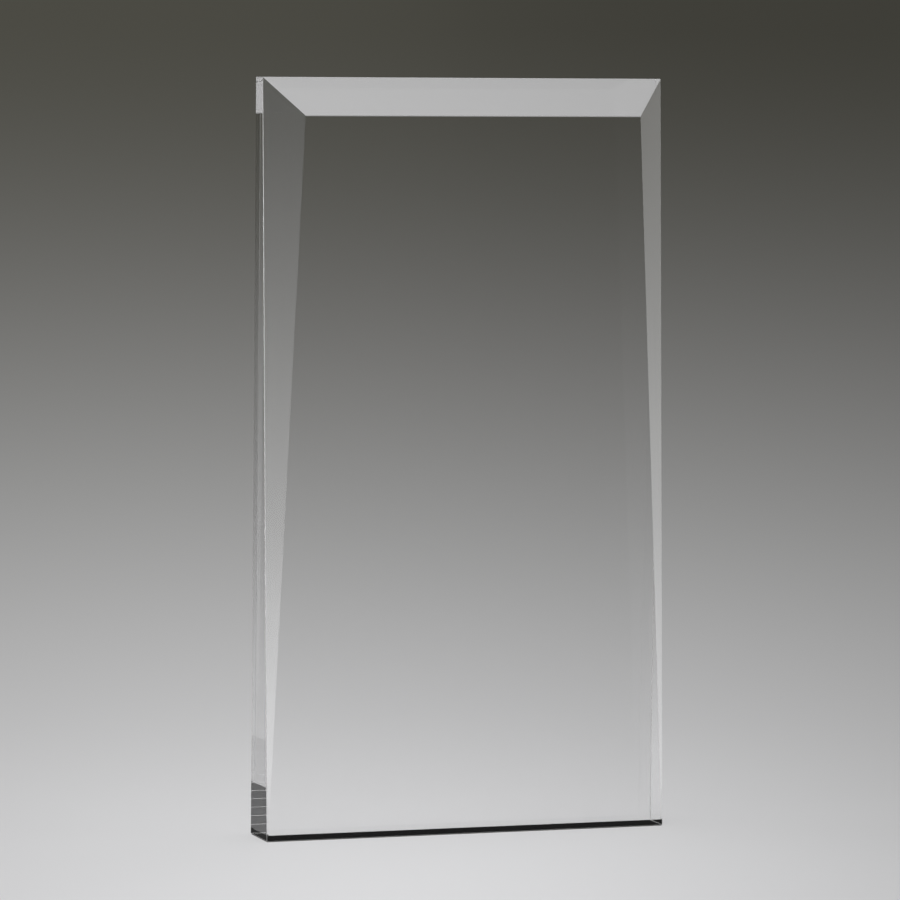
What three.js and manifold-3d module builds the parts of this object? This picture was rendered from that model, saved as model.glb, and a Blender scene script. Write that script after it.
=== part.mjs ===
// Free-standing clear acrylic display block on a thin black base pad.
// Millimetres. X runs along the width, Y along the depth with the bevelled front towards -Y, Z up.
// The origin is the centre of the base, on the surface that the block stands on.

import * as THREE from 'three';
import { mergeVertices } from 'three/addons/utils/BufferGeometryUtils.js';
import Module from 'manifold-3d';

const wasm = await Module();
wasm.setup();

// Overall size
const overallHeight = 270;
const blockWidth = 150;
const blockDepth = 20;

// Front bevels: one along the top, and one down each side that tapers almost to nothing
const bevelDepth = 12; // cut into each outer face at the top corners, where the bevels mitre
const topBevelHeight = 13.3; // taken from the front face by the top bevel
const sideBevelTopWidth = 12.8; // taken from the front face by each side bevel, at the top
const sideBevelBottomWidth = 0.4; // and at the bottom

// Eased outer edges
const arrisWidth = 0.4; // flat left on each outer edge by the polishing wheel
const footArrisWidth = 0.1; // the foot's edges are only just broken, so that black covers the whole foot

// Base pad, a thin film, and the adhesive that holds it
const padThickness = 0.15;
const adhesiveThickness = 0.05;
const padMargin = 0.1; // from the block's base outline in to the pad's edge
const padCornerRadius = 1;

// Heights of the layers, from the surface up
const adhesiveBottom = padThickness;
const blockBottom = adhesiveBottom + adhesiveThickness;
const blockHeight = overallHeight - blockBottom;

const halfWidth = blockWidth / 2;
const halfDepth = blockDepth / 2;

// Materials
const clearAcrylic = new THREE.MeshStandardMaterial({
  color: 0xe3e8e8,
  roughness: 0.03,
  metalness: 0,
  transparent: true,
  opacity: 0.35,
  flatShading: true,
});
const blackAdhesive = new THREE.MeshStandardMaterial({ color: 0x121212, roughness: 0.35, metalness: 0 });
const blackPad = new THREE.MeshStandardMaterial({ color: 0x1b1b1c, roughness: 0.85, metalness: 0 });

// A closed three.js geometry as a solid that can be cut.
function toSolid(geometry) {
  const bare = geometry.clone();
  bare.deleteAttribute('normal');
  bare.deleteAttribute('uv');
  const merged = mergeVertices(bare);
  return new wasm.Manifold(new wasm.Mesh({
    numProp: 3,
    vertProperties: new Float32Array(merged.attributes.position.array),
    triVerts: new Uint32Array(merged.index.array),
  }));
}

// The cut solid as a geometry to draw.
function toGeometry(solid) {
  const mesh = solid.getMesh();
  const geometry = new THREE.BufferGeometry();
  geometry.setAttribute('position', new THREE.BufferAttribute(mesh.vertProperties, 3));
  geometry.setIndex(new THREE.BufferAttribute(mesh.triVerts, 1));
  geometry.computeVertexNormals();
  return geometry;
}

// A flat cut: a box that lies on the outer side of a plane and reaches past the whole block.
const cutterSize = 3 * Math.hypot(blockWidth, blockDepth, overallHeight);
function cutterOutside(plane) {
  const box = new THREE.BoxGeometry(cutterSize, cutterSize, cutterSize);
  box.translate(0, 0, cutterSize / 2);
  const turn = new THREE.Quaternion().setFromUnitVectors(new THREE.Vector3(0, 0, 1), plane.normal);
  const foot = plane.coplanarPoint(new THREE.Vector3());
  box.applyMatrix4(new THREE.Matrix4().compose(foot, turn, new THREE.Vector3(1, 1, 1)));
  return toSolid(box);
}

function cutAlong(solid, planes) {
  return planes.reduce((rest, plane) => rest.subtract(cutterOutside(plane)), solid);
}

// The plane through three points of the front, facing forwards.
function frontPlane(a, b, c) {
  const plane = new THREE.Plane().setFromCoplanarPoints(a, b, c);
  return plane.normal.y > 0 ? plane.negate() : plane;
}

// The block's own frame has its bottom face at z = 0.
const at = (x, y, z) => new THREE.Vector3(x, y, z);

const topBevel = frontPlane(
  at(0, -halfDepth, blockHeight - topBevelHeight),
  at(halfWidth, -halfDepth, blockHeight - topBevelHeight),
  at(0, -halfDepth + bevelDepth, blockHeight),
);

// A side bevel runs from its full width at the top to a sliver at the bottom.
function sideBevel(side) {
  return frontPlane(
    at(side * (halfWidth - sideBevelTopWidth), -halfDepth, blockHeight),
    at(side * (halfWidth - sideBevelBottomWidth), -halfDepth, 0),
    at(side * halfWidth, -halfDepth + bevelDepth, blockHeight),
  );
}
const leftBevel = sideBevel(-1);
const rightBevel = sideBevel(1);

// The blank's faces, facing outwards
const faceOf = (x, y, z, distance) => new THREE.Plane(at(x, y, z), -distance);
const backFace = faceOf(0, 1, 0, halfDepth);
const frontFace = faceOf(0, -1, 0, halfDepth);
const leftFace = faceOf(-1, 0, 0, halfWidth);
const rightFace = faceOf(1, 0, 0, halfWidth);
const topFace = faceOf(0, 0, 1, blockHeight);
const bottomFace = faceOf(0, 0, -1, 0);

// The arris between two faces is a third plane that halves their angle and leaves a flat of the
// given width. It lies below the sharp edge by half that width over tan(half the angle).
function arris(faceA, faceB, width) {
  const sum = faceA.normal.clone().add(faceB.normal);
  const edgeAngle = Math.PI - faceA.normal.angleTo(faceB.normal);
  const edgeConstant = (faceA.constant + faceB.constant) / sum.length();
  const drop = width / (2 * Math.tan(edgeAngle / 2));
  return new THREE.Plane(sum.normalize(), edgeConstant + drop);
}

const outerEdges = [
  [backFace, leftFace],
  [backFace, rightFace],
  [backFace, topFace],
  [leftFace, topFace],
  [rightFace, topFace],
  [leftBevel, leftFace],
  [rightBevel, rightFace],
  [topBevel, topFace],
];
const facesAroundFoot = [backFace, leftFace, rightFace, frontFace, leftBevel, rightBevel];

const arrises = [
  ...outerEdges.map(([a, b]) => arris(a, b, arrisWidth)),
  ...facesAroundFoot.map((face) => arris(face, bottomFace, footArrisWidth)),
];

// The block: a sawn blank, bevelled on three edges and eased along its outer edges.
function acrylicBlock() {
  const blank = new THREE.BoxGeometry(blockWidth, blockDepth, blockHeight);
  blank.translate(0, 0, blockHeight / 2);
  const bevelled = cutAlong(toSolid(blank), [topBevel, leftBevel, rightBevel]);
  const eased = cutAlong(bevelled, arrises);
  const mesh = new THREE.Mesh(toGeometry(eased), clearAcrylic);
  mesh.name = 'acrylic_block';
  mesh.position.z = blockBottom;
  return mesh;
}

// A rectangle with its corners rounded.
function roundedRectangle(width, depth, radius) {
  const x = width / 2;
  const y = depth / 2;
  const shape = new THREE.Shape();
  shape.absarc(x - radius, y - radius, radius, 0, Math.PI / 2);
  shape.absarc(radius - x, y - radius, radius, Math.PI / 2, Math.PI);
  shape.absarc(radius - x, radius - y, radius, Math.PI, 1.5 * Math.PI);
  shape.absarc(x - radius, radius - y, radius, 1.5 * Math.PI, 2 * Math.PI);
  return shape;
}

// A layer under the block follows the base outline, bevels included, a margin inside it.
function baseLayer(name, bottom, thickness, material) {
  const outline = roundedRectangle(blockWidth - 2 * padMargin, blockDepth - 2 * padMargin, padCornerRadius);
  const sheet = new THREE.ExtrudeGeometry(outline, { depth: thickness, bevelEnabled: false, curveSegments: 6 });
  const insetBevels = [leftBevel, rightBevel].map((bevel) => {
    const inset = bevel.clone();
    inset.constant += padMargin;
    return inset;
  });
  const mesh = new THREE.Mesh(toGeometry(cutAlong(toSolid(sheet), insetBevels)), material);
  mesh.name = name;
  mesh.position.z = bottom;
  return mesh;
}

const displayBlock = new THREE.Group();
displayBlock.add(acrylicBlock());
displayBlock.add(baseLayer('pad_adhesive', adhesiveBottom, adhesiveThickness, blackAdhesive));
displayBlock.add(baseLayer('base_pad', 0, padThickness, blackPad));

export default displayBlock;
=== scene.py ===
# Clear acrylic photo block on a thin black base pad, on a pale studio floor.
# Metres, in the part's own frame: X along the width, Y along the depth with the bevelled front
# towards -Y, Z up, and the origin at the centre of the base.

import math

import bpy
import numpy as np
from mathutils import Matrix, Vector


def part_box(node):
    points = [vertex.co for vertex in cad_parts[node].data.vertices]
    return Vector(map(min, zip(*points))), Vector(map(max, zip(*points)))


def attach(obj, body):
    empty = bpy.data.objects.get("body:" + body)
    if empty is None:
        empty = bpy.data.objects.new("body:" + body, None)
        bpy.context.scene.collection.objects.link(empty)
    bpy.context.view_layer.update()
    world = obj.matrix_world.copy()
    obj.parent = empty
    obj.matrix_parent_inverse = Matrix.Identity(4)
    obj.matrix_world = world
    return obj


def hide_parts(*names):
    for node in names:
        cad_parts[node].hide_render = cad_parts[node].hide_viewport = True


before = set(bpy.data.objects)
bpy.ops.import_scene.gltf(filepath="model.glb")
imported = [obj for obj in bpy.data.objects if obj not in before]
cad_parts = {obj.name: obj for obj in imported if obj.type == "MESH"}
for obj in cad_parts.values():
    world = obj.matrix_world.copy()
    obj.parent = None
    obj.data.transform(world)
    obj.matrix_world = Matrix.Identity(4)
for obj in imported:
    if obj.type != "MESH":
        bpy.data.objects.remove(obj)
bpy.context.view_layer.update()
scene = bpy.context.scene
print("frame loaded:", ", ".join(sorted(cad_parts)))


def linearColour(hexCode):
    # sRGB hex to linear: each channel over 255, then the sRGB curve undone
    srgb = np.array([int(hexCode[i:i + 2], 16) for i in (1, 3, 5)]) / 255
    linear = np.where(srgb <= 0.04045, srgb / 12.92, ((srgb + 0.055) / 1.055) ** 2.4)
    return (*linear.tolist(), 1.0)


def addNode(tree, kind, links=(), **settings):
    # adds a node: a setting is a property, or else fills the input of that name, or of that number after
    # "in", and each link is (socket to fill, output to fill it from)
    node = tree.nodes.new(kind)
    properties = [name for name in settings if hasattr(node, name)]
    for name in properties:
        setattr(node, name, settings[name])
    for name in settings:
        if name not in properties:
            socket = int(name[2:]) if name.startswith("in") else name.replace("_", " ")
            node.inputs[socket].default_value = settings[name]
    for socket, output in links:
        tree.links.new(output, node.inputs[socket])
    return node


def newMaterial(name):
    material = bpy.data.materials.new(name)
    material.use_nodes = True
    material.node_tree.nodes.clear()
    return material, material.node_tree


def finishMaterial(tree, shader):
    addNode(tree, "ShaderNodeOutputMaterial", [("Surface", shader.outputs[0])])


# Materials

acrylicFinish = {
    "colour": "#FBFBFB",  # cast acrylic is almost water-white
    "ior": 1.49,
    "roughness": 0.0,
    "waveSize": 0.006,  # buffing leaves the faces wavy over a few millimetres
    "waveHeight": 0.0000004,
}


def polishedCastAcrylic(values):
    # cast PMMA sheet, sawn, milled and buffed: clear as water, mirror gloss, faintly wavy from the wheel
    material, tree = newMaterial("polishedCastAcrylic")
    place = addNode(tree, "ShaderNodeTexCoord")
    waves = addNode(tree, "ShaderNodeTexNoise", [("Vector", place.outputs["Object"])],
                    Scale=1 / values["waveSize"], Detail=2.0, Roughness=0.45)
    bump = addNode(tree, "ShaderNodeBump", [("Height", waves.outputs[0])],
                   Strength=1.0, Distance=values["waveHeight"])
    shader = addNode(tree, "ShaderNodeBsdfPrincipled", [("Normal", bump.outputs[0])],
                     Base_Color=linearColour(values["colour"]), IOR=values["ior"],
                     Roughness=values["roughness"], Transmission_Weight=1.0)
    finishMaterial(tree, shader)
    return material


arrisFinish = {
    "colour": "#F6F6F6",
    "ior": 1.49,
    "roughness": 0.3,
    "clearShare": 0.8,  # the rest of the light is scattered white
    "scraperMark": 0.0005,  # the chatter that the scraper leaves along an edge
    "markDepth": 0.000004,
}


def scrapedAcrylicArris(values):
    # the same acrylic where an edge was broken with a scraper: a fine white satin that gathers light
    # from all round, so each edge draws a thin pale line
    material, tree = newMaterial("scrapedAcrylicArris")
    place = addNode(tree, "ShaderNodeTexCoord")
    marks = addNode(tree, "ShaderNodeTexNoise", [("Vector", place.outputs["Object"])],
                    Scale=1 / values["scraperMark"], Detail=1.0)
    bump = addNode(tree, "ShaderNodeBump", [("Height", marks.outputs[0])],
                   Strength=1.0, Distance=values["markDepth"])
    shader = addNode(tree, "ShaderNodeBsdfPrincipled", [("Normal", bump.outputs[0])],
                     Base_Color=linearColour(values["colour"]), IOR=values["ior"],
                     Roughness=values["roughness"], Transmission_Weight=values["clearShare"])
    finishMaterial(tree, shader)
    return material


adhesiveFinish = {"colour": "#101010", "wrinkleSize": 0.004, "mottle": 0.25}


def wettedBlackAdhesive(values):
    # pressure-sensitive adhesive pressed against the acrylic: it wets the face, so nothing shines
    # between them, and only slightly uneven black is left
    material, tree = newMaterial("wettedBlackAdhesive")
    place = addNode(tree, "ShaderNodeTexCoord")
    blotches = addNode(tree, "ShaderNodeTexNoise", [("Vector", place.outputs["Object"])],
                       Scale=1 / values["wrinkleSize"], Detail=3.0)
    black = linearColour(values["colour"])
    tint = addNode(tree, "ShaderNodeMix", [("Factor", blotches.outputs[0])], data_type="RGBA",
                   in6=tuple(c * (1 - values["mottle"]) for c in black[:3]) + (1.0,),
                   in7=tuple(c * (1 + values["mottle"]) for c in black[:3]) + (1.0,))
    shader = addNode(tree, "ShaderNodeBsdfPrincipled", [("Base Color", tint.outputs[2])],
                     Roughness=0.6, Specular_IOR_Level=0.0)
    finishMaterial(tree, shader)
    return material


padFinish = {"colour": "#1B1B1C", "grain": 0.0004, "grainHeight": 0.00003, "roughness": 0.8}


def calenderedBlackVinyl(values):
    # soft PVC sheet rolled between embossed calenders: dull black with a fine leathery grain
    material, tree = newMaterial("calenderedBlackVinyl")
    place = addNode(tree, "ShaderNodeTexCoord")
    grain = addNode(tree, "ShaderNodeTexVoronoi", [("Vector", place.outputs["Object"])],
                    Scale=1 / values["grain"])
    bump = addNode(tree, "ShaderNodeBump", [("Height", grain.outputs["Distance"])],
                   Strength=0.6, Distance=values["grainHeight"])
    black = linearColour(values["colour"])
    tint = addNode(tree, "ShaderNodeMix", [("Factor", grain.outputs["Distance"])], data_type="RGBA",
                   in6=tuple(c * 0.7 for c in black[:3]) + (1.0,), in7=black)
    shader = addNode(tree, "ShaderNodeBsdfPrincipled",
                     [("Normal", bump.outputs[0]), ("Base Color", tint.outputs[2])],
                     Roughness=values["roughness"])
    finishMaterial(tree, shader)
    return material


acrylic = polishedCastAcrylic(acrylicFinish)
satinAcrylic = scrapedAcrylicArris(arrisFinish)
adhesive = wettedBlackAdhesive(adhesiveFinish)
vinyl = calenderedBlackVinyl(padFinish)
print("materials made")

# The block

block = {
    "bevelDepth": 0.012,
    "topBevelHeight": 0.0133,
    "sideBevelTopWidth": 0.0128,
    "sideBevelBottomWidth": 0.0004,
    "arris": 0.00035,  # width of the broken outer edges
    "backArris": 0.0002,  # of those round the back
    "topCrease": 0.00035,  # of the line between the front and the top bevel
    "footArris": 0.00016,  # and of the foot's edges, which are only just broken
    "arrisSegments": 3,
}


def blockOutline(height, low, high, values):
    # the plan outline at a height, three points on the right and their mirror images: the side bevel's
    # width grows evenly with height, its depth keeps the same ratio to the width, and above the top
    # bevel's foot the front edge moves back evenly
    rise = (height - low.z) / (high.z - low.z)
    bottomWidth, topWidth = values["sideBevelBottomWidth"], values["sideBevelTopWidth"]
    width = bottomWidth + rise * (topWidth - bottomWidth)
    depth = width * values["bevelDepth"] / topWidth
    bevelFoot = high.z - values["topBevelHeight"]
    back = np.maximum(height - bevelFoot, 0) * values["bevelDepth"] / values["topBevelHeight"]
    halfFront = high.x - width * (1 - back / depth)
    one = np.ones_like(height)
    right = np.stack([
        np.stack([halfFront, low.y + back, height], -1),
        np.stack([high.x * one, low.y + depth, height], -1),
        np.stack([high.x * one, high.y * one, height], -1),
    ], 1)
    left = right[:, ::-1] * np.array([-1.0, 1.0, 1.0])
    return np.concatenate([right, left], 1)


def blockMesh(values):
    # three outlines, at the foot, at the top bevel's foot and at the top, joined by flat faces: the
    # front's upper corners run up the mitres to the side faces' upper corners
    low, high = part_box("acrylic_block")
    levels = np.array([low.z, high.z - values["topBevelHeight"], high.z])
    outlines = blockOutline(levels, low, high, values)
    points = np.concatenate([outlines[0], outlines[1, [0, 5]], outlines[2, [1, 2, 3, 4]]])
    foot = range(6)  # right front, right bevel, right back, left back, left bevel, left front
    frontRight, frontLeft = 6, 7
    topRight, backRight, backLeft, topLeft = 8, 9, 10, 11
    faces = [
        [foot[5], foot[0], frontRight, frontLeft],  # front
        [frontLeft, frontRight, topRight, topLeft],  # top bevel
        [foot[0], foot[1], topRight, frontRight],  # right bevel
        [foot[4], foot[5], frontLeft, topLeft],  # left bevel
        [foot[1], foot[2], backRight, topRight],  # right side
        [foot[3], foot[4], topLeft, backLeft],  # left side
        [foot[2], foot[3], backLeft, backRight],  # back
        [topRight, backRight, backLeft, topLeft],  # top
        [foot[k] for k in (5, 4, 3, 2, 1, 0)],  # bottom, wetted by the adhesive
    ]
    mesh = bpy.data.meshes.new("clearBlock")
    mesh.from_pydata(points.tolist(), [], faces)
    for material in (acrylic, adhesive, satinAcrylic):
        mesh.materials.append(material)
    mesh.polygons[len(faces) - 1].material_index = 1  # the adhesive, on the bottom
    weight = mesh.attributes.new("bevel_weight_edge", "FLOAT", "EDGE")
    corners = {
        "front": [frontRight, frontLeft],
        "back": [foot[2], foot[3], backRight, backLeft],
        "foot": list(foot),
    }
    weight.data.foreach_set("value", edgeWidths(mesh, corners, values) / values["arris"])
    return mesh


def edgeWidths(mesh, corners, values):
    # how wide each edge is broken, by how many of its ends are corners of the front, back and foot: the
    # mitres and the lines down the sides of the front stay crisp
    ends = np.zeros(len(mesh.edges) * 2, dtype=int)
    mesh.edges.foreach_get("vertices", ends)
    pairs = ends.reshape(-1, 2)
    front, back, foot = (np.isin(pairs, corners[key]).sum(1) for key in ("front", "back", "foot"))
    widths = np.choose(front, [values["arris"], 0.0, values["topCrease"]])
    widths = np.where(back == 2, values["backArris"], widths)
    return np.where(foot == 2, values["footArris"], widths)


blockObject = bpy.data.objects.new("clear_block", blockMesh(block))
scene.collection.objects.link(blockObject)
arris = blockObject.modifiers.new("arris", "BEVEL")
arris.limit_method = "WEIGHT"
arris.offset_type = "WIDTH"
arris.width = block["arris"]
arris.segments = block["arrisSegments"]
arris.material = 2  # the satin one of the block's materials
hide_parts("acrylic_block")
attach(blockObject, "root")

for name, material in (("pad_adhesive", adhesive), ("base_pad", vinyl)):
    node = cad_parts[name]
    node.data.materials.clear()
    node.data.materials.append(material)
print("block and pad made")

# The camera, at the photograph's angle

view = {
    "yawDeg": 18.970,
    "pitchDeg": 4.733,
    "rollDeg": -0.580,
    "distance": 1.9012,
    "aim": (-0.0151, -0.0305, 0.1399),
    "lensMm": 216.27,
    "sensorMm": 36.0,
}

# The stage: a pale floor with a soft pool of light painted into its colour, under a soft studio dome

stage = {
    "radius": 120.0,
    "coveStart": 60.0,  # from here out the floor curves up into a backdrop
    "coveHeight": 10.0,
    "rings": 48,
    "spokes": 96,
    # the painted pool of light: the floor's colour in its lit middle and far out in its painted shade
    "nearColour": "#F5F5F7",
    "farColour": "#4C4B44",
    "poolMiddle": -0.47,  # along the line of sight, from the object
    "poolAcross": 0.372,  # half widths of the pool, across the line of sight
    "poolBeyond": 1.146,  # on the far side of its middle
    "poolBefore": 3.0,  # and on the near side
    "poolPower": 1.56,  # how fast the pool falls off
    "paintedLeftLightGain": 0.26,  # painted light from the left: the left is painted this much lighter, and the right as much darker
    "paintedLeftLightReach": 0.382,  # half of it is reached this far out
    "paintedLeftLightSpread": 0.026,  # the reach grows by this much for each metre beyond
    "paintedFootGlowGain": 0.08,  # painted glow: close round the object the floor is painted this much lighter
    "patchWidth": 0.204,
}


def floorMesh(values):
    # a disc: rings whose radius grows as the cube of their number, so they are close near the object;
    # past the start of the cove the height grows as the square of the distance from there
    radius = values["radius"] * (np.arange(values["rings"] + 1) / values["rings"]) ** 3
    angle = np.arange(values["spokes"]) * 2 * math.pi / values["spokes"]
    ring = np.stack([np.outer(radius[1:], np.cos(angle)), np.outer(radius[1:], np.sin(angle))], -1)
    points = np.zeros((1 + ring.shape[0] * ring.shape[1], 3))
    points[1:, :2] = ring.reshape(-1, 2)
    cove = np.maximum(radius[1:] - values["coveStart"], 0) / (values["radius"] - values["coveStart"])
    points[1:, 2] = np.repeat(values["coveHeight"] * cove ** 2, values["spokes"])
    spokes = values["spokes"]
    here = np.arange(spokes)
    there = (here + 1) % spokes
    centre = np.stack([np.zeros_like(here), 1 + here, 1 + there], -1)
    start = 1 + spokes * np.arange(values["rings"] - 1)[:, None]
    quads = np.stack([start + here, start + spokes + here, start + spokes + there, start + there], -1)
    mesh = bpy.data.meshes.new("studioFloor")
    mesh.from_pydata(points.tolist(), [], centre.tolist() + quads.reshape(-1, 4).tolist())
    return mesh


def mattBoardPaintedLightPool(values):
    # matt white board with a pool of light painted into its colour. Across and along are the distances
    # from the pool's middle, each over its half width on that side; the painted colour goes from near to
    # far as 1 / (1 + length of (across, along) ^ power), times 1 - gain * across / (|across| + reach +
    # spread * metres beyond), a painted light from the left, times 1 + glow gain * e ^ -(distance from
    # the object / glow width) ^ 2, a painted glow round the object's foot
    material, tree = newMaterial("mattBoardPaintedLightPool")
    place = addNode(tree, "ShaderNodeTexCoord")
    turned = addNode(tree, "ShaderNodeMapping", [("Vector", place.outputs["Object"])],
                     Rotation=(0, 0, math.radians(view["yawDeg"])), Location=(0, -values["poolMiddle"], 0))
    axes = addNode(tree, "ShaderNodeSeparateXYZ", [(0, turned.outputs[0])])
    across, along = axes.outputs["X"], axes.outputs["Y"]
    beyond = addNode(tree, "ShaderNodeMath", [(0, along)], operation="MAXIMUM", in1=0.0)
    before = addNode(tree, "ShaderNodeMath", [(0, along)], operation="MINIMUM", in1=0.0)
    parts = addNode(tree, "ShaderNodeCombineXYZ",
                    [(0, across), (1, beyond.outputs[0]), (2, before.outputs[0])])
    halfWidths = (values["poolAcross"], values["poolBeyond"], values["poolBefore"])
    scaled = addNode(tree, "ShaderNodeVectorMath", [(0, parts.outputs[0])],
                     operation="DIVIDE", in1=halfWidths)
    length = addNode(tree, "ShaderNodeVectorMath", [(0, scaled.outputs[0])], operation="LENGTH")
    curve = addNode(tree, "ShaderNodeMath", [(0, length.outputs["Value"])], operation="POWER",
                    in1=values["poolPower"])
    below = addNode(tree, "ShaderNodeMath", [(0, curve.outputs[0])], operation="ADD", in1=1.0)
    share = addNode(tree, "ShaderNodeMath", [(1, below.outputs[0])], operation="DIVIDE", in0=1.0)
    # painted light: the colour eases from the painted far shade to the pool's lit middle
    pool = addNode(tree, "ShaderNodeMix", [("Factor", share.outputs[0])], data_type="RGBA",
                   in6=linearColour(values["farColour"]), in7=linearColour(values["nearColour"]))
    size = addNode(tree, "ShaderNodeMath", [(0, across)], operation="ABSOLUTE")
    spread = addNode(tree, "ShaderNodeMath", [(0, beyond.outputs[0])], operation="MULTIPLY_ADD",
                     in1=values["paintedLeftLightSpread"], in2=values["paintedLeftLightReach"])
    reach = addNode(tree, "ShaderNodeMath", [(0, size.outputs[0]), (1, spread.outputs[0])], operation="ADD")
    lean = addNode(tree, "ShaderNodeMath", [(0, across), (1, reach.outputs[0])], operation="DIVIDE")
    # painted light from the left: the left side of the floor painted lighter, the right darker
    paintedSideLight = addNode(tree, "ShaderNodeMath", [(0, lean.outputs[0])], operation="MULTIPLY_ADD",
                   in1=-values["paintedLeftLightGain"], in2=1.0)
    distance = addNode(tree, "ShaderNodeVectorMath", [(0, place.outputs["Object"])], operation="LENGTH")
    widths = addNode(tree, "ShaderNodeMath", [(0, distance.outputs["Value"])], operation="DIVIDE",
                     in1=values["patchWidth"])
    square = addNode(tree, "ShaderNodeMath", [(0, widths.outputs[0])], operation="POWER", in1=2.0)
    patch = addNode(tree, "ShaderNodeMath", [(1, square.outputs[0])], operation="POWER", in0=math.exp(-1))
    # painted glow round the object's foot, in the floor's colour
    paintedFootGlow = addNode(tree, "ShaderNodeMath", [(0, patch.outputs[0])], operation="MULTIPLY_ADD",
                   in1=values["paintedFootGlowGain"], in2=1.0)
    both = addNode(tree, "ShaderNodeMath", [(0, paintedSideLight.outputs[0]), (1, paintedFootGlow.outputs[0])],
                   operation="MULTIPLY")
    tint = addNode(tree, "ShaderNodeVectorMath", [(0, pool.outputs[2]), ("Scale", both.outputs[0])],
                   operation="SCALE")
    shader = addNode(tree, "ShaderNodeBsdfDiffuse", [("Color", tint.outputs[0])])
    finishMaterial(tree, shader)
    return material


floor = bpy.data.objects.new("studio_floor", floorMesh(stage))
floor.data.materials.append(mattBoardPaintedLightPool(stage))
scene.collection.objects.link(floor)

# Upright light panels at the sides

softEdge = 0.3  # the share of a panel's half width, and of its height, over which its light fades out

# each panel's glow is its strength times the colour at that share of its height; the two that can be
# seen through the block are plain, and the others light only its first surfaces
sidePanels = {
    "right": {"x": 1.4, "yFrom": -0.8, "yTo": 1.3, "height": 1.4, "strength": 0.6,
              "bands": [(0.0, "#FFFFFF"), (1.0, "#FFFFFF")], "seenThrough": True},
    "farRight": {"x": 1.35, "yFrom": 0.27, "yTo": 0.53, "height": 0.6, "strength": 1.42,
                 "bands": [(0.0, "#FFFFFF"), (0.42, "#D1D1D1")], "seenThrough": False},
    "lowRight": {"x": 0.18, "yFrom": -0.03, "yTo": 0.09, "height": 0.143, "strength": 1.15,
                 "bands": [(0.0, "#FFFFFF"), (1.0, "#FFFFFF")], "seenThrough": False},
    "left": {"x": -1.4, "yFrom": -1.0, "yTo": 0.7, "height": 1.4, "strength": 0.9,
             "bands": [(0.0, "#FFFFFF"), (1.0, "#FFFFFF")], "seenThrough": True},
    "farLeft": {"x": -1.35, "yFrom": -0.64, "yTo": -0.36, "height": 0.6, "strength": 3.9,
                "bands": [(0.0, "#FFFFFF"), (0.233, "#E5E5E5"), (0.5, "#A0A0A0")], "seenThrough": False},
    "lowLeft": {"x": -0.2, "yFrom": -0.115, "yTo": 0.005, "height": 0.151, "strength": 4.2,
                "bands": [(0.0, "#A0A0A0"), (0.1, "#D6D6D6"), (0.25, "#F8F8F8"), (0.5, "#FCFCFC"),
                          (0.7, "#EAEAEA")], "seenThrough": False},
    "backLeft": {"x": -0.21, "yFrom": -0.01, "yTo": 0.37, "height": 0.3, "strength": 7.5,
                 "bands": [(0.08, "#000000"), (0.227, "#FFFFFF")], "seenThrough": False},
}


def colourBands(tree, share, bands, easing):
    # a colour ramp over a share from 0 to 1
    ramp = addNode(tree, "ShaderNodeValToRGB", [(0, share)])
    ramp.color_ramp.interpolation = easing
    stops = ramp.color_ramp.elements
    for i, (position, colour) in enumerate(bands):
        stop = stops[i] if i < 2 else stops.new(position)
        stop.position = position
        stop.color = linearColour(colour)
    return ramp.outputs[0]


def addOutOfSight(thing, seenThrough=False):
    # adds a stage piece that casts no shadow and that neither the camera nor the floor sees: it shows in
    # polished faces, and through the block as well if it is seen through
    thing.visible_camera = False
    thing.visible_diffuse = False
    thing.visible_transmission = seenThrough
    thing.visible_shadow = False
    scene.collection.objects.link(thing)


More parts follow.
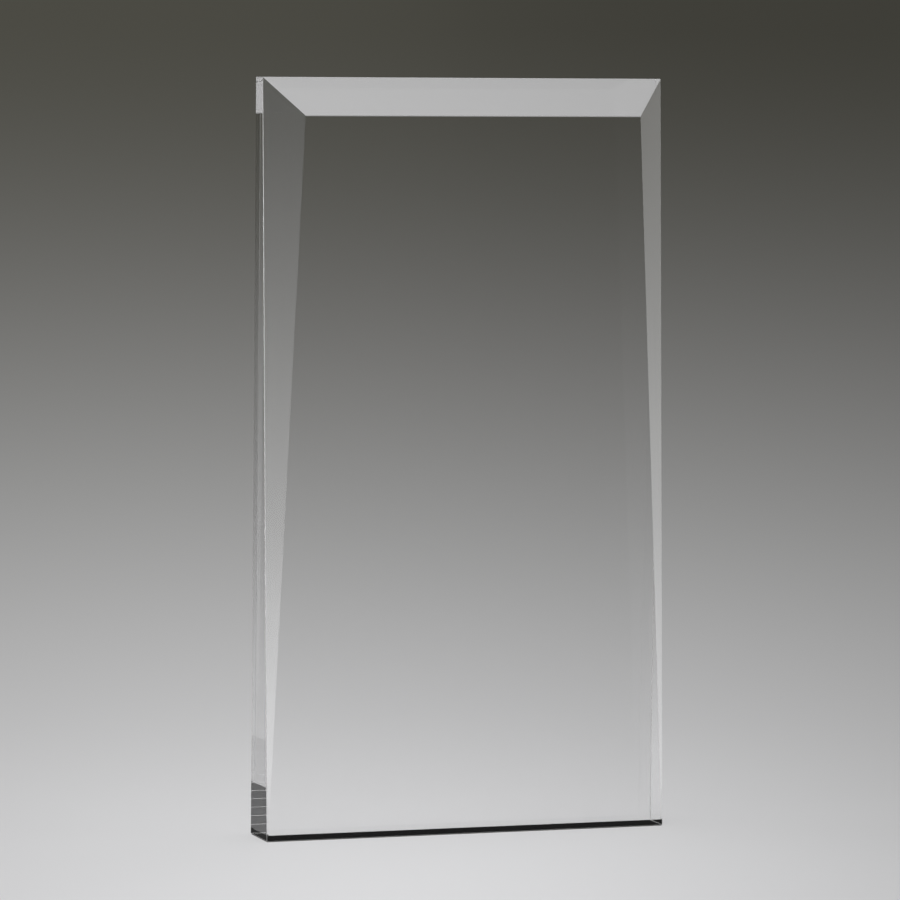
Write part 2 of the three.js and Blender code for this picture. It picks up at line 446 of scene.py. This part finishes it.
def sidePanel(name, values):
    # an upright sheet of light beside the object, seen only in its polished faces. Its light is full up
    # to the soft edge, and from there eases out to its two ends and its top
    across = np.array([values["yFrom"], values["yTo"], values["yTo"], values["yFrom"]])
    upwards = np.array([0.0, 0.0, values["height"], values["height"]])
    mesh = bpy.data.meshes.new(name)
    mesh.from_pydata(np.stack([np.full(4, values["x"]), across, upwards], -1).tolist(), [], [[0, 1, 2, 3]])
    panel = bpy.data.objects.new(name, mesh)
    material, tree = newMaterial(name + "Glow")
    place = addNode(tree, "ShaderNodeTexCoord")
    axes = addNode(tree, "ShaderNodeSeparateXYZ", [(0, place.outputs["Object"])])
    share = addNode(tree, "ShaderNodeMath", [(0, axes.outputs["Z"])],
                    operation="DIVIDE", in1=values["height"])
    path = addNode(tree, "ShaderNodeLightPath")
    direct = addNode(tree, "ShaderNodeMath", [(0, path.outputs["Diffuse Depth"])],
                     operation="LESS_THAN", in1=0.5)  # so that the panel doesn't light the floor
    seen = addNode(tree, "ShaderNodeMath", [(0, direct.outputs[0])],
                   operation="MULTIPLY", in1=values["strength"])
    colour = colourBands(tree, share.outputs[0], values["bands"], "LINEAR")
    glow = addNode(tree, "ShaderNodeEmission", [("Color", colour), ("Strength", seen.outputs[0])])
    halfWidth = (values["yTo"] - values["yFrom"]) / 2
    aside = addNode(tree, "ShaderNodeMath", [(0, axes.outputs["Y"])],
                    operation="SUBTRACT", in1=values["yFrom"] + halfWidth)
    offset = addNode(tree, "ShaderNodeMath", [(0, aside.outputs[0])], operation="ABSOLUTE")
    ends = addNode(tree, "ShaderNodeMapRange", [("Value", offset.outputs[0])],
                   interpolation_type="SMOOTHSTEP", From_Min=halfWidth, From_Max=halfWidth * (1 - softEdge))
    top = addNode(tree, "ShaderNodeMapRange", [("Value", share.outputs[0])],
                  interpolation_type="SMOOTHSTEP", From_Min=1.0, From_Max=1 - softEdge)
    both = addNode(tree, "ShaderNodeMath", [(0, ends.outputs[0]), (1, top.outputs[0])],
                   operation="MULTIPLY")
    clear = addNode(tree, "ShaderNodeBsdfTransparent")
    sheet = addNode(tree, "ShaderNodeMixShader",
                    [(0, both.outputs[0]), (1, clear.outputs[0]), (2, glow.outputs[0])])
    finishMaterial(tree, sheet)
    mesh.materials.append(material)
    addOutOfSight(panel, values["seenThrough"])


for side, values in sidePanels.items():
    sidePanel(side + "Panel", values)

# Level cards on the floor at the foot: painted contact shadow that only reflections show

shadowCardHeight = 0.0004  # above the floor
footShadowCards = {
    "frontShadowCard": {"xFrom": -0.12, "xTo": 0.12, "yFrom": -0.024, "yTo": -0.0102, "colour": "#999999"},
    "leftShadowCard": {"xFrom": -0.0788, "xTo": -0.0752, "yFrom": -0.012, "yTo": 0.025, "colour": "#656565"},
}


def paintedShadowCard(name, values):
    # a grey glowing rectangle beside the foot, seen only in the polished faces: a painted contact shadow
    # there, which keeps the floor's reflection from washing out the black foot
    across = np.array([values["xFrom"], values["xTo"], values["xTo"], values["xFrom"]])
    along = np.array([values["yFrom"], values["yFrom"], values["yTo"], values["yTo"]])
    mesh = bpy.data.meshes.new(name)
    mesh.from_pydata(np.stack([across, along, np.full(4, shadowCardHeight)], -1).tolist(), [], [[0, 1, 2, 3]])
    shadowCard = bpy.data.objects.new(name, mesh)
    material, tree = newMaterial(name + "Board")
    finishMaterial(tree, addNode(tree, "ShaderNodeEmission", Color=linearColour(values["colour"])))
    mesh.materials.append(material)
    addOutOfSight(shadowCard)


for name, values in footShadowCards.items():
    paintedShadowCard(name, values)

# The light from above

dome = {
    "strength": 1.5,
    # height on a dome of radius 1, and the colour there: dark round the horizon, an even soft light
    # from a little above it, and a brighter soft light straight overhead
    "bands": [(0.08, "#35352F"), (0.5, "#AAAAAA"), (0.72, "#AAAAAA"), (0.95, "#FFFFFF")],
}


def studioDome(values):
    # the world: its colour depends on height alone, and eases from one band to the next
    world = bpy.data.worlds.new("studioDome")
    world.use_nodes = True
    tree = world.node_tree
    tree.nodes.clear()
    direction = addNode(tree, "ShaderNodeTexCoord")
    axes = addNode(tree, "ShaderNodeSeparateXYZ", [(0, direction.outputs["Generated"])])
    sky = colourBands(tree, axes.outputs["Z"], values["bands"], "EASE")
    background = addNode(tree, "ShaderNodeBackground", [("Color", sky)], Strength=values["strength"])
    addNode(tree, "ShaderNodeOutputWorld", [("Surface", background.outputs[0])])
    scene.world = world


studioDome(dome)
print("stage and light made")


def photographCamera(values):
    # the camera's axes: turned by the yaw, tipped down by the pitch, then rolled about its line of sight
    yaw, pitch, roll = (math.radians(values[k]) for k in ("yawDeg", "pitchDeg", "rollDeg"))
    forward = Vector((math.cos(pitch) * math.sin(yaw), math.cos(pitch) * math.cos(yaw), -math.sin(pitch)))
    right = Vector((math.cos(yaw), -math.sin(yaw), 0))
    up = right.cross(forward)
    rolledRight = right * math.cos(roll) - up * math.sin(roll)
    rolledUp = right * math.sin(roll) + up * math.cos(roll)
    eye = Vector(values["aim"]) - forward * values["distance"]
    data = bpy.data.cameras.new("photographCamera")
    data.sensor_width = values["sensorMm"]
    data.lens = values["lensMm"]
    data.clip_end = 500  # past the far side of the floor
    camera = bpy.data.objects.new("photographCamera", data)
    turn = Matrix((rolledRight, rolledUp, -forward)).transposed().to_4x4()
    camera.matrix_world = Matrix.Translation(eye) @ turn
    scene.collection.objects.link(camera)
    scene.camera = camera


photographCamera(view)

# Light passes back and forth inside the block many times before it leaves
scene.view_settings.view_transform = "Standard"
scene.cycles.max_bounces = 40
scene.cycles.glossy_bounces = 32
scene.cycles.transmission_bounces = 24
scene.cycles.diffuse_bounces = 4
scene.cycles.blur_glossy = 0.0
